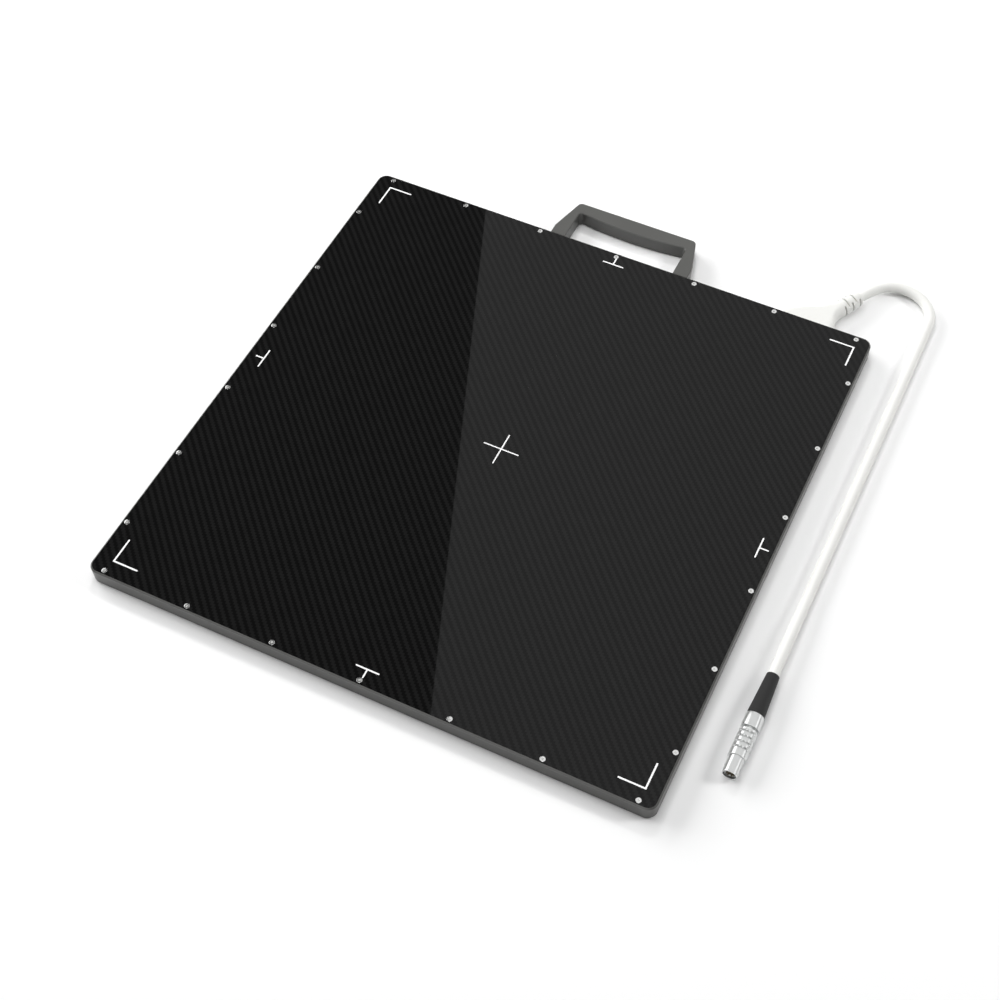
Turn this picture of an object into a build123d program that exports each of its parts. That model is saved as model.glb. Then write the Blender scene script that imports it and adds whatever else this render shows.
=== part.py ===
"""A wired flat panel x-ray detector: a thin square cassette with a carry handle, a cable
block with its strain relief, a soft cable and a round push-pull plug.

Sizes are in millimetres. The origin is the centre of the underside. X runs along the edge
that holds the handle, Y points from the middle of the panel to the handle, Z points up."""

from build123d import *
import math
import os

# Panel and housing
PANEL = 460.0  # outer side of the square housing
THICK = 15.0  # height of the closed housing
CORNER_R = 8.0  # upright corners of the housing
EDGE_CHAMFER = 1.0
RIM = 1.2  # outer edge to the wall of the cover's rebate
WALL = 3.5  # thickness of the housing's outer wall
LEDGE = 8.5  # outer edge to the inner edge of the flanges
FLANGE = 3.4  # thickness of each flange that a cover lies on
LEAST_CORNER_R = 4.6  # inner corners that would be tighter are sharp, as a mitre leaves them

# Covers and their screws
COVER_T = 1.6
SEAM = 0.15  # gap between a cover and the wall of its rebate
SCREW_INSET = 4.3  # outer edge to the line of cover screws
ROW_END = 13.4  # housing's side to the end screws of a row
ROW_SCREWS = 7  # front cover, along the front and rear edges
COLUMN_SCREWS = 6  # front cover, along the left and right edges
COLUMN_SHIFT = -1.6  # the columns lie this far towards the front
SCREW_DIA = 2.5
SCREW_HEAD_DIA = 4.6
SCREW_BITE = 2.5  # length of thread below the cover
GROOVE_FLOOR = 0.2  # the frame's screw groove is deeper than the thread by this
THREAD_GAP = 0.02
CLEAR_GAP = 0.05  # round a shank that passes through a hole
HOLE_SPARE = 0.2  # a blind hole is deeper than its screw by this
SMALL_SIDES = 6  # sides of the small round pieces that repeat, and of their holes
SEAL_INSET = 6.2  # the seal fills a step from here to the flange's inner edge
SEAL_T = 0.8

# Layers under the front cover, from the top down
ACTIVE_BORDER = 14.1  # housing's side to the square image area
ACTIVE_CENTRE = (1.4, 0.4)
CUSHION_T = 1.0
SCINTILLATOR_T = 0.6
GLASS_T = 0.7
GLASS_MARGIN = 3.1  # glass beyond the scintillator, where the flexes bond
SHIELD_T = 0.5
PLATE_T = 2.0
PLATE_MARGIN = 2.1  # support plate beyond the scintillator

# Circuit boards, which hang below the support plate
BOARD_T = 1.6
BOARD_MARGIN = 2.0  # plate's edge to the boards along the front and the left edges
READOUT_DEPTH = 40.0
READOUT_END = 32.0  # plate's edge to the ends of the readout board
GATE_WIDTH = 32.0
GATE_END = 70.0  # plate's edge to the ends of the gate board
MAIN_BOARD = (190.0, 150.0)
MAIN_FROM_CORNER = (35.0, 33.0)  # housing's rear right corner to that board's
POWER_DEPTH = 110.0
POWER_FROM_GATE = 34.0  # gap between the two boards
POWER_FROM_MAIN = (15.0, 7.0)  # gap between the two, and how much further forward it starts
PAD_T = 1.6  # soft pad between a board and the plate
PAD_SIDE = 16.0
BOARD_SCREW_HEAD_DIA = 4.4
BOARD_SCREW_HEAD_T = 1.6
BOARD_SCREW_BITE = 1.4
BOARD_SCREW_INSET = 7.0  # board's edges to its screws
SUPPORT_AF = 6.0  # hexagonal supports, across flats
SUPPORT_GAP = 8.0  # between the middle of a support and the boards beside it
SUPPORT_BORDER = 70.0  # housing's side to the outer columns of supports
SUPPORT_ROWS = (90.0, 230.0, 380.0)  # housing's front to the rows of supports
CUSHION_LENGTH = 20.0  # silicone blocks at the plate's edge
FLEX_T = 0.2
FLEX_WIDTH = 24.0
FLEX_PITCH = 38.0
FLEX_BEND = 1.2
FLEX_BOND = 2.6  # width of the strip of glass that a flex is bonded to
FLEX_TAIL = 4.0  # width of the strip of board that it is soldered to
FLEX_STAND_OFF = 2.1  # glass edge to the outside of the flex
RIBBON_LAP = 8.0
RIBBON_WIDTHS = (30.0, 16.0, 24.0)
RIBBON_SETBACKS = (70.0, 25.0, 73.0)  # main board's left and front edges to the ribbons

# Parts on the boards: middle from the board's own middle, then width, depth and height
PROCESSOR = (0.0, 8.0, 27.0, 27.0, 1.5)
MEMORY_STEPS = (-13.0, 1.0, 15.0, 29.0)
MEMORY = (32.0, 10.0, 12.0, 1.2)
READOUT_CHIP = (-4.0, 14.0, 8.0, 1.5)
GATE_CHIP = (1.0, 8.0, 14.0, 1.5)
COILS = [(-30.0, step, 12.0, 12.0, 3.2) for step in (-25.0, -5.0, 15.0)]
CONVERTERS = [(25.0, step, 20.0, 14.0, 2.4) for step in (-20.0, 15.0)]
CAN = (60.0, 28.0, 44.0, 44.0, 3.0)
CAN_WALL = 0.3
HEAT_PAD_INSET = 2.0

# Handle on the rear edge
HANDLE_T = 13.5
GRIP_HALF = 50.5  # half the width of the hand opening
LEG_WIDTH = 13.5  # of the straight foot of each leg
LEG_FOOT = 9.5  # length of that foot
LEG_LEAN = 9.0  # the outer corners lie this far inside the feet
HANDLE_REACH = 42.5  # housing to the outside of the bar
HANDLE_OUTER_R = 4.5
GRIP_REACH = 31.8  # housing to the bar at the ends of the opening
GRIP_SWELL = 3.9  # the bar is thicker by this in the middle
GRIP_CORNER_R = 3.5
HANDLE_EDGE = 0.7  # small chamfer round both flat sides
HANDLE_SCREW_DIA = 3.0
HANDLE_SCREW_HEAD_DIA = 4.8
HANDLE_SCREW_HEAD_T = 1.8
HANDLE_SCREW_BITE = 8.0
HANDLE_SCREW_STEP = 6.4  # between the two screws of a leg

# Cable block and strain relief, one white moulding on the rear edge
AXIS_Z = THICK / 2
BLOCK_FROM_CORNER = 58.75  # housing's right side to the middle of the block's base
# Below, points in plan are measured from the middle of the block's base
NECK = (23.4, 32.6)  # a point on the strain relief's axis
NECK_HEADING = 60.5  # degrees from X
NECK_BACK = -5.0  # along the axis from NECK to the start of the round part
RELIEF_END = 16.0  # and to the end of the strain relief
NECK_DIA = 14.8
RELIEF_END_DIA = 12.8
RELIEF_LIP = 0.8
# Left and right outline points of the block, its height there and its section's corner radius
BLOCK_SECTIONS = [
    ((-23.25, 0.0), (23.25, 0.0), 12.2, 2.5),
    ((-18.25, 6.5), (23.45, 4.8), 12.3, 3.2),
    ((-8.75, 13.3), (23.15, 9.7), 12.6, 4.2),
    ((1.75, 18.7), (22.85, 14.6), 13.2, 5.2),
    ((9.55, 25.2), (24.25, 19.4), 14.0, 6.3),
]
NECK_INSET = 0.05  # the block's last section lies this far inside the strain relief
SLOT_FIRST = -4.0  # along the axis from NECK to the first pair of slots
SLOT_STEP = 4.1
SLOT_COUNT = 5
SLOT_WIDTH = 1.1
SLOT_FLOOR = 4.9  # relief axis to the flat floor of a slot
BLOCK_SCREW_STEP = 15.25  # middle of the block's base to its screws
BLOCK_SCREW_BITE = 4.0
HARNESS_DIA = 3.8
SPIGOT_DIA = 5.2
SPIGOT_GAP = 0.1
SOCKET = (14.0, 8.0, 4.9)
SOCKET_LOW = 5.0
SOCKET_NOTCH = (3.0, 1.0)  # room beside and before it in the support plate

# Cable, and the plug at its end
CABLE_DIA = 9.0
PLUG_FROM_CORNER = (34.9, -322.8)  # housing's rear right corner to the end of the boot
BOOT_LENGTH = 35.9
BOOT_SMALL_DIA = 9.9
BOOT_LARGE_DIA = 13.2
BOOT_LIP = 0.6
BOOT_SKIRT = 3.0  # straight part next to the nut
NUT_DIA = 14.0
NUT_LENGTH = 11.2
NUT_CHAMFER = 0.5
NUT_STUB = 5.0  # length of the nut's thread inside the latch sleeve
SHELL_TRAVEL = 1.5
SHELL_SPARE = 0.2  # left between the nut and the shell when it is pulled back
SHELL_DIA = 13.8
SHELL_CHAMFER = 0.45
GRIP_LENGTH = 23.1
NOSE_DIA = 11.8
NOSE_LENGTH = 13.7
NOSE_CHAMFER = 0.3
SLEEVE_DIA = 9.8
SLEEVE_BORE = 8.6
SLIDE_GAP = 0.05
SLEEVE_SETBACK = 2.2  # nose tip to the end of the latch sleeve
GRIP_RINGS = 4
GRIP_RING_STEP = 4.5
GRIP_RING_FIRST = 3.0  # rear of the shell to the first ring groove
GROOVE_WIDTH = 1.3
GROOVE_DEPTH = 0.5
INSERT_SETBACK = 3.2  # nose tip to the face that carries the pins
INSERT_DIA = 7.0
PIN_DIA = 1.0
PIN_LENGTH = 2.6
PIN_COUNT = 7
PIN_CIRCLE = 4.9
FINGER_WIDTH = 3.0
FINGER_SLOT_GAP = 0.2
FINGER_T = 0.5
FINGER_GAP = 0.25  # between a finger and the bore of the shell
FINGER_ROOT = 13.5  # nose tip to the root of the finger
FINGER_TIP = 3.0
TOOTH_FRONT = 4.6
TOOTH_LENGTH = 1.8
TOOTH_RAMP = 1.0
TOOTH_PROUD = 0.08
TOOTH_SIDE = 0.3  # the tooth is narrower than its finger by this on each side
WINDOW_SPARE = (0.3, 0.4)  # before the tooth with the shell pulled back, and behind it at rest
WINDOW_SIDE = 0.6  # between the tooth and the sides of the window

# Points that the cable's centreline turns at, chosen by hand along the loop that it lies in,
# from the housing's rear right corner
CABLE_FIRST_RUN = 12.5  # in line with the strain relief
CABLE_TURNS = [
    (-12.8, 67.7, 6.9),
    (-2.2, 73.4, 6.1),
    (9.9, 74.3, 5.3),
    (21.4, 70.2, 4.8),
    (30.2, 62.0, 4.5),
    (35.0, 50.9, 4.5),
    (34.9, -250.0, 4.5),
    (34.9, -292.0, 7.0),
]
TURN_SHARE = 0.45  # share of the shorter run that an arc takes

# Levels and lines that follow from the sizes above
HALF = PANEL / 2
COVER_INSET = RIM + SEAM
LOW_LEDGE = COVER_T
HIGH_LEDGE = THICK - COVER_T
CHANNEL_LOW = LOW_LEDGE + FLANGE
CHANNEL_HIGH = HIGH_LEDGE - FLANGE
CUSHION_LOW = HIGH_LEDGE - CUSHION_T
SCINTILLATOR_LOW = CUSHION_LOW - SCINTILLATOR_T
GLASS_LOW = SCINTILLATOR_LOW - GLASS_T
SHIELD_LOW = GLASS_LOW - SHIELD_T
PLATE_LOW = SHIELD_LOW - PLATE_T
BOARD_HIGH = PLATE_LOW - PAD_T
BOARD_LOW = BOARD_HIGH - BOARD_T
SCREW_PITCH = (PANEL - 2 * ROW_END) / (ROW_SCREWS - 1)
ACTIVE = PANEL - 2 * ACTIVE_BORDER
GLASS_SIDE = ACTIVE + 2 * GLASS_MARGIN
PLATE_SIDE = ACTIVE + 2 * PLATE_MARGIN
HANDLE_HALF = GRIP_HALF + LEG_WIDTH
BLOCK_X = HALF - BLOCK_FROM_CORNER
PLUG_X = HALF + PLUG_FROM_CORNER[0]
PLUG_Z = NUT_DIA / 2
BOOT_END_Y = HALF + PLUG_FROM_CORNER[1]
NUT_Y = BOOT_END_Y - BOOT_LENGTH
NUT_FRONT_Y = NUT_Y - NUT_LENGTH
SHELL_REAR_Y = NUT_FRONT_Y - SHELL_TRAVEL - SHELL_SPARE
NOSE_Y = SHELL_REAR_Y - GRIP_LENGTH
TIP_Y = NOSE_Y - NOSE_LENGTH
SHELL_BORE = SLEEVE_DIA + 2 * SLIDE_GAP
WINDOW_FRONT = TOOTH_FRONT - SHELL_TRAVEL - WINDOW_SPARE[0]
WINDOW_END = TOOTH_FRONT + TOOTH_LENGTH + WINDOW_SPARE[1]
TOOTH_WIDTH = FINGER_WIDTH - 2 * TOOTH_SIDE
MAIN_REAR_Y = HALF - MAIN_FROM_CORNER[1]
SOCKET_END_Y = MAIN_REAR_Y + SOCKET[1]


def board_places():
    """Each board's middle, width and depth."""
    edge = PLATE_SIDE / 2 - BOARD_MARGIN
    readout_width = PLATE_SIDE - 2 * READOUT_END
    gate_depth = PLATE_SIDE - 2 * GATE_END
    main_x = HALF - MAIN_FROM_CORNER[0] - MAIN_BOARD[0] / 2
    main_y = MAIN_REAR_Y - MAIN_BOARD[1] / 2
    power_left = GATE_WIDTH - edge + POWER_FROM_GATE
    power_right = main_x - MAIN_BOARD[0] / 2 - POWER_FROM_MAIN[0]
    power_x, power_width = (power_left + power_right) / 2, power_right - power_left
    power_y = MAIN_REAR_Y - POWER_FROM_MAIN[1] - POWER_DEPTH / 2
    return {
        "readout_board": (0.0, READOUT_DEPTH / 2 - edge, readout_width, READOUT_DEPTH),
        "gate_board": (GATE_WIDTH / 2 - edge, 0.0, GATE_WIDTH, gate_depth),
        "main_board": (main_x, main_y, *MAIN_BOARD),
        "power_board": (power_x, power_y, power_width, POWER_DEPTH),
    }


BOARDS = board_places()
# The two corners of each board that are screwed down
SCREWED_CORNERS = {
    "readout_board": ((-1, 1), (1, 1)),
    "gate_board": ((1, -1), (1, 1)),
    "main_board": ((-1, -1), (1, -1)),
    "power_board": ((-1, 1), (1, -1)),
}


def slab(width, depth, low, high, corner=0.0, centre=(0.0, 0.0)):
    """A flat block between two heights, with rounded upright corners if asked."""
    outline = RectangleRounded(width, depth, corner) if corner else Rectangle(width, depth)
    return extrude(Pos(centre[0], centre[1], low) * outline, high - low)


def inset_slab(inset, low, high):
    """A slab of the housing's outline, moved in from the outer edge all round."""
    side = PANEL - 2 * inset
    corner = CORNER_R - inset
    return slab(side, side, low, high, corner if corner > LEAST_CORNER_R else 0)


def ring_slab(outer, inner, low, high):
    """A square ring between two insets from the outer edge."""
    return inset_slab(outer, low, high) - inset_slab(inner, low, high)


def along(start, direction, radius, length):
    """A round bar that starts at a point and runs in a direction."""
    plane = Plane(origin=start, z_dir=direction)
    return extrude(plane * Circle(radius), length)


def stud(start, direction, radius, length):
    """The same with few sides, for the small round pieces that repeat, and their holes."""
    plane = Plane(origin=start, z_dir=direction)
    return extrude(plane * RegularPolygon(radius, SMALL_SIDES), length)


def turned(profile, x, z):
    """A solid of revolution about a line along Y. The profile is (radius, y) pairs."""
    outline = Polyline(*[(r, y, 0) for r, y in profile], close=True)
    return Pos(x, 0, z) * revolve(make_face(outline), Axis.Y)


def steps(count, pitch):
    """Evenly spaced places, centred on zero."""
    return [(i - (count - 1) / 2) * pitch for i in range(count)]


def front_screw_places():
    """Cover screws: rows along the front and rear, columns along the sides."""
    line = HALF - SCREW_INSET
    rows = [(x, side * line) for side in (-1, 1) for x in steps(ROW_SCREWS, SCREW_PITCH)]
    ys = [y + COLUMN_SHIFT for y in steps(COLUMN_SCREWS, SCREW_PITCH)]
    return rows + [(side * line, y) for side in (-1, 1) for y in ys]


def rear_screw_places():
    """Three on the front and rear edges, two on each side."""
    line = HALF - SCREW_INSET
    far = HALF - ROW_END
    rows = [(x, side * line) for side in (-1, 1) for x in (-far, 0, far)]
    return rows + [(side * line, y) for side in (-1, 1) for y in (-far / 3, far / 3)]


def countersunk_screw(head_gap=0.0, shank_gap=0.0, length=COVER_T + SCREW_BITE):
    """A countersunk screw, head up at height zero. With gaps it is the hole for one."""
    head = SCREW_HEAD_DIA / 2 + head_gap
    shank = SCREW_DIA / 2 + shank_gap
    neck = shank - head
    top = RegularPolygon(head, SMALL_SIDES)
    cone = loft([Pos(0, 0, neck) * RegularPolygon(shank, SMALL_SIDES), top], ruled=True)
    return cone + stud((0, 0, neck), (0, 0, -1), shank, length + neck)


def cover(low, places, facing):
    """A cover plate with a countersunk hole at each place, on the side that faces out."""
    plate = inset_slab(COVER_INSET, low, low + COVER_T)
    hole = countersunk_screw(CLEAR_GAP, CLEAR_GAP, 2 * COVER_T)
    if facing > 0:
        holes = [Pos(x, y, low + COVER_T) * hole for x, y in places]
    else:
        holes = [Pos(x, y, low) * Rot(180, 0, 0) * hole for x, y in places]
    return plate - holes


def front_cover():
    return cover(HIGH_LEDGE, front_screw_places(), 1)


def rear_cover():
    return cover(0, rear_screw_places(), -1)


def cover_screws():
    return [Pos(x, y, THICK) * countersunk_screw() for x, y in front_screw_places()]


def rear_cover_screws():
    return [Pos(x, y, 0) * Rot(180, 0, 0) * countersunk_screw() for x, y in rear_screw_places()]


def wall_screw(x, dia, head_dia, bite):
    """A screw that lies along Y: its head is in the channel, its thread past the wall."""
    inner = HALF - WALL
    head = stud((x, inner, AXIS_Z), (0, -1, 0), head_dia / 2, HANDLE_SCREW_HEAD_T)
    return head + stud((x, inner, AXIS_Z), (0, 1, 0), dia / 2, WALL + bite)


def handle_screw_xs():
    middle = GRIP_HALF + LEG_WIDTH / 2
    return [side * (middle + step) for side in (-1, 1) for step in steps(2, HANDLE_SCREW_STEP)]


def block_screw_xs():
    return [BLOCK_X - BLOCK_SCREW_STEP, BLOCK_X + BLOCK_SCREW_STEP]


def handle_screws():
    return [
        wall_screw(x, HANDLE_SCREW_DIA, HANDLE_SCREW_HEAD_DIA, HANDLE_SCREW_BITE)
        for x in handle_screw_xs()
    ]


def overmould_screws():
    return [
        wall_screw(x, SCREW_DIA, SCREW_HEAD_DIA, BLOCK_SCREW_BITE) for x in block_screw_xs()
    ]


def wall_hole(x, dia):
    """A clearance hole through the rear wall."""
    return stud((x, HALF - WALL - 1, AXIS_Z), (0, 1, 0), dia / 2 + CLEAR_GAP, WALL + 2)


def thread_hole(x, dia, bite):
    """A blind hole that starts at the rear wall's outside and takes a thread along Y."""
    return stud((x, HALF, AXIS_Z), (0, 1, 0), dia / 2 + THREAD_GAP, bite + HOLE_SPARE)


def housing_frame():
    """A square ring of channel section: an outer wall, and two flanges for the covers. Each
    flange has a groove that the screws' threads bite into, and a step for a seal."""
    frame = inset_slab(0, 0, THICK)
    ends = frame.faces().sort_by(Axis.Z)
    frame = chamfer(ends[0].edges() + ends[-1].edges(), EDGE_CHAMFER)
    frame -= inset_slab(RIM, 0, LOW_LEDGE)
    frame -= inset_slab(RIM, HIGH_LEDGE, THICK)
    frame -= inset_slab(LEDGE, 0, THICK)
    frame -= inset_slab(WALL, CHANNEL_LOW, CHANNEL_HIGH)
    frame -= inset_slab(SEAL_INSET, HIGH_LEDGE - SEAL_T, HIGH_LEDGE)
    frame -= inset_slab(SEAL_INSET, LOW_LEDGE, LOW_LEDGE + SEAL_T)
    reach, depth = SCREW_DIA / 2 + THREAD_GAP, SCREW_BITE + GROOVE_FLOOR
    outer, inner = SCREW_INSET - reach, SCREW_INSET + reach
    frame -= ring_slab(outer, inner, HIGH_LEDGE - depth, HIGH_LEDGE)
    frame -= ring_slab(outer, inner, LOW_LEDGE, LOW_LEDGE + depth)
    frame -= [wall_hole(x, HANDLE_SCREW_DIA) for x in handle_screw_xs()]
    frame -= [wall_hole(x, SCREW_DIA) for x in block_screw_xs()]
    way_in = (BLOCK_X, HALF - WALL - 1, AXIS_Z)
    return frame - along(way_in, (0, 1, 0), SPIGOT_DIA / 2 + SPIGOT_GAP, WALL + 2)


def front_seal():
    return ring_slab(SEAL_INSET, LEDGE, HIGH_LEDGE - SEAL_T, HIGH_LEDGE)


def rear_seal():
    return ring_slab(SEAL_INSET, LEDGE, LOW_LEDGE, LOW_LEDGE + SEAL_T)


def handle():
    """A flat loop: straight feet, legs that lean in, and a bar that swells in the middle."""
    low = AXIS_Z - HANDLE_T / 2
    knee = HALF + LEG_FOOT
    bar = HALF + HANDLE_REACH
    corner = HANDLE_HALF - LEG_LEAN
    outline = Polyline(
        (-HANDLE_HALF, HALF),
        (-HANDLE_HALF, knee),
        (-corner, bar),
        (corner, bar),
        (HANDLE_HALF, knee),
        (HANDLE_HALF, HALF),
        close=True,
    )
    outer = make_face(outline)
    outer = fillet(outer.vertices().group_by(Axis.Y)[-1], HANDLE_OUTER_R)
    grip_end = HALF + GRIP_REACH
    bottom = Polyline(
        (-GRIP_HALF, grip_end), (-GRIP_HALF, HALF - 1), (GRIP_HALF, HALF - 1), (GRIP_HALF, grip_end)
    )
    swell = ThreePointArc(
        (GRIP_HALF, grip_end), (0, grip_end - GRIP_SWELL), (-GRIP_HALF, grip_end)
    )
    opening = make_face(bottom + swell)
    opening = fillet(opening.vertices().group_by(Axis.Y)[-1], GRIP_CORNER_R)
    body = extrude(Pos(0, 0, low) * (outer - opening), HANDLE_T)
    flats = body.faces().filter_by(Axis.Z)
    edges = [e for face in flats for e in face.edges() if e.center().Y > HALF + 0.01]
    body = chamfer(edges, HANDLE_EDGE)
    return body - [thread_hole(x, HANDLE_SCREW_DIA, HANDLE_SCREW_BITE) for x in handle_screw_xs()]


def layer(side, low, high):
    """A square sheet centred on the image area."""
    return slab(side, side, low, high, 0, ACTIVE_CENTRE)


def cushion_sheet():
    return layer(ACTIVE, CUSHION_LOW, HIGH_LEDGE)


def scintillator():
    return layer(ACTIVE, SCINTILLATOR_LOW, CUSHION_LOW)


def tft_glass():
    return layer(GLASS_SIDE, GLASS_LOW, SCINTILLATOR_LOW)


def shield_sheet():
    return layer(PLATE_SIDE, SHIELD_LOW, GLASS_LOW)


def board_screw_places(name):
    """The middles of a board's two screws."""
    x, y, width, depth = BOARDS[name]
    across, along_y = width / 2 - BOARD_SCREW_INSET, depth / 2 - BOARD_SCREW_INSET
    return [(x + i * across, y + j * along_y) for i, j in SCREWED_CORNERS[name]]


def all_board_screw_places():
    return [place for name in BOARDS for place in board_screw_places(name)]


def support_plate():
    """The plate that carries the glass, notched where the harness comes in."""
    plate = layer(PLATE_SIDE, PLATE_LOW, SHIELD_LOW)
    notch_start = MAIN_REAR_Y - SOCKET_NOTCH[1]
    notch_depth = HALF - notch_start
    centre = (BLOCK_X, notch_start + notch_depth / 2)
    notch_width = SOCKET[0] + 2 * SOCKET_NOTCH[0]
    plate -= slab(notch_width, notch_depth, PLATE_LOW, SHIELD_LOW, 0, centre)
    radius, depth = SCREW_DIA / 2 + THREAD_GAP, BOARD_SCREW_BITE + HOLE_SPARE
    places = all_board_screw_places()
    return plate - [stud((x, y, PLATE_LOW), (0, 0, 1), radius, depth) for x, y in places]


def support_places():
    """Three rows. The rear row stands left of, between and right of the two rear boards."""
    outer = HALF - SUPPORT_BORDER
    front, middle, rear = [row - HALF for row in SUPPORT_ROWS]
    px, py, power_width, power_depth = BOARDS["power_board"]
    mx, my, main_width, main_depth = BOARDS["main_board"]
    left = px - power_width / 2 - SUPPORT_GAP
    right = mx + main_width / 2 + SUPPORT_GAP
    between = (px + power_width / 2 + mx - main_width / 2) / 2
    places = [(x, y) for y in (front, middle) for x in (-outer, 0, outer)]
    return places + [(x, rear) for x in (left, between, right)]


def plate_supports():
    """Hexagonal posts between the rear cover and the support plate."""
    radius = SUPPORT_AF / math.sqrt(3)
    post = extrude(Pos(0, 0, COVER_T) * RegularPolygon(radius, 6), PLATE_LOW - COVER_T)
    return [Pos(x, y, 0) * post for x, y in support_places()]


def edge_cushions():
    """Silicone blocks between the plate's edge and the upper flange, two on each side."""
    inner = HALF - LEDGE
    pieces = []
    for along_x in (True, False):
        for side in (-1, 1):
            shift = ACTIVE_CENTRE[1] if along_x else ACTIVE_CENTRE[0]
            plate_edge = side * PLATE_SIDE / 2 + shift
            depth = abs(side * inner - plate_edge)
            middle = (side * inner + plate_edge) / 2
            for end in (-1, 1):
                place = end * (inner - CUSHION_LENGTH)
                size = (CUSHION_LENGTH, depth) if along_x else (depth, CUSHION_LENGTH)
                centre = (place, middle) if along_x else (middle, place)
                pieces.append(slab(*size, PLATE_LOW, SHIELD_LOW, 0, centre))
    return pieces


def flex_profile(glass_edge, board_edge):
    """The outline of a flex that leaves the glass, goes round the plate and reaches a board.

    Drawn as (distance outwards, height)."""
    out = glass_edge + FLEX_STAND_OFF
    top = SCINTILLATOR_LOW + FLEX_T
    low = BOARD_LOW - FLEX_T
    bond = glass_edge - FLEX_BOND
    tail = board_edge - FLEX_TAIL
    b, t = FLEX_BEND, FLEX_T
    step = t * math.tan(math.radians(22.5))
    return [
        (bond, top),
        (out - b, top),
        (out, top - b),
        (out, low + b),
        (out - b, low),
        (tail, low),
        (tail, low + t),
        (out - b - step, low + t),
        (out - t, low + b + step),
        (out - t, top - b - step),
        (out - b - step, top - t),
        (bond, top - t),
    ]


def flex_steps(length):
    """The places of as many flexes as fit along an edge of a board."""
    return steps(int((length + FLEX_PITCH - FLEX_WIDTH) / FLEX_PITCH), FLEX_PITCH)


def readout_flexes():
    """Flexes over the front edge, side by side."""
    x, y, width, depth = BOARDS["readout_board"]
    profile = flex_profile(GLASS_SIDE / 2 - ACTIVE_CENTRE[1], depth / 2 - y)
    face = make_face(Polyline(*[(0, -d, z) for d, z in profile], close=True))
    strip = extrude(face, FLEX_WIDTH / 2, dir=(1, 0, 0), both=True)
    return [Pos(x + step, 0, 0) * strip for step in flex_steps(width)]


def gate_flexes():
    """Flexes over the left edge, side by side."""
    x, y, width, depth = BOARDS["gate_board"]
    profile = flex_profile(GLASS_SIDE / 2 - ACTIVE_CENTRE[0], width / 2 - x)
    face = make_face(Polyline(*[(-d, 0, z) for d, z in profile], close=True))
    strip = extrude(face, FLEX_WIDTH / 2, dir=(0, 1, 0), both=True)
    return [Pos(0, y + step, 0) * strip for step in flex_steps(depth)]


def board(name):
    x, y, width, depth = BOARDS[name]
    plate = slab(width, depth, BOARD_LOW, BOARD_HIGH, 0, (x, y))
    radius = SCREW_DIA / 2 + CLEAR_GAP
    places = board_screw_places(name)
    return plate - [stud((*place, BOARD_LOW), (0, 0, 1), radius, BOARD_T) for place in places]


def board_pads():
    """Two soft pads on each board, which hold it off the plate."""
    pads = []
    for x, y, width, depth in BOARDS.values():
        for step in steps(2, max(width, depth) / 2):
            centre = (x + step, y) if width > depth else (x, y + step)
            pads.append(slab(PAD_SIDE, PAD_SIDE, BOARD_HIGH, PLATE_LOW, 0, centre))
    return pads


def board_screws():
    """Low round heads under the boards, with threads in the support plate."""
    screws = []
    for x, y in all_board_screw_places():
        head = stud((x, y, BOARD_LOW), (0, 0, -1), BOARD_SCREW_HEAD_DIA / 2, BOARD_SCREW_HEAD_T)
        reach = PLATE_LOW - BOARD_LOW + BOARD_SCREW_BITE
        screws.append(head + stud((x, y, BOARD_LOW), (0, 0, 1), SCREW_DIA / 2, reach))
    return screws


def on_board(name, dx, dy, width, depth, height):
    """A block on the underside of a board, placed from the board's middle."""
    x, y = BOARDS[name][:2]
    return slab(width, depth, BOARD_LOW - height, BOARD_LOW, 0, (x + dx, y + dy))


def board_chips():
    """The larger parts on the undersides of the boards."""
    chips = [on_board("main_board", *PROCESSOR)]
    chips += [on_board("main_board", MEMORY[0], step, *MEMORY[1:]) for step in MEMORY_STEPS]
    for step in flex_steps(BOARDS["readout_board"][2]):
        chips.append(on_board("readout_board", step, *READOUT_CHIP))
    for step in flex_steps(BOARDS["gate_board"][3]):
        chips.append(on_board("gate_board", GATE_CHIP[0], step, *GATE_CHIP[1:]))
    return chips + [on_board("power_board", *part) for part in COILS + CONVERTERS]


def shield_can():
    """A thin lid over the analogue corner of the main board, open towards the board."""
    dx, dy, width, depth, height = CAN
    inside = (width - 2 * CAN_WALL, depth - 2 * CAN_WALL, height - CAN_WALL)
    return on_board("main_board", *CAN) - on_board("main_board", dx, dy, *inside)


def heat_pad():
    """A soft pad between the processor and the rear cover."""
    x, y = BOARDS["main_board"][:2]
    dx, dy, width, depth, height = PROCESSOR
    side = width - 2 * HEAT_PAD_INSET
    return slab(side, side, COVER_T, BOARD_LOW - height, 0, (x + dx, y + dy))


def ribbon(x_range, y_range):
    """A flat strap under the boards."""
    (left, right), (front, back) = x_range, y_range
    middle = ((left + right) / 2, (front + back) / 2)
    return slab(right - left, back - front, BOARD_LOW - FLEX_T, BOARD_LOW, 0, middle)


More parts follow.
